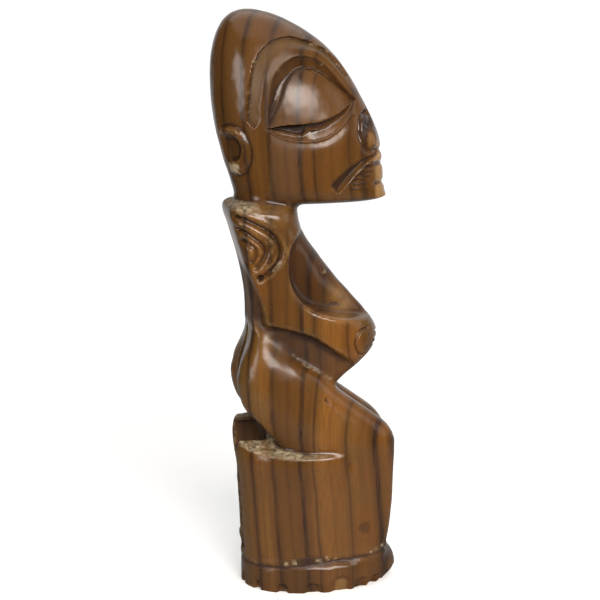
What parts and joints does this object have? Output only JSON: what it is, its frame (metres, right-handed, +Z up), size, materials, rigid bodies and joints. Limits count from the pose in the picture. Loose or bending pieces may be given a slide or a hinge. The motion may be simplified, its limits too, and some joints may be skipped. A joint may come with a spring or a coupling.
{
  "type": "wooden tiki figure",
  "caption": "Hand-carved wooden tiki: squatting figure with a tall leaning head, hands on its belly, on a drum seat with a notched foot band, cut from one block.",
  "frame": {"origin": "middle of the seat's underside, on the plane of symmetry, at floor level", "axes": "+Z up through the head; the figure faces -Y, so its left is +X; X is the narrow way across the figure"},
  "size_m": [0.0427, 0.0706, 0.2201],
  "materials": {
    "wood": "gloss"
  },
  "bodies": {
    "root": {"tiki": "wood"}
  },
  "joints": []
}
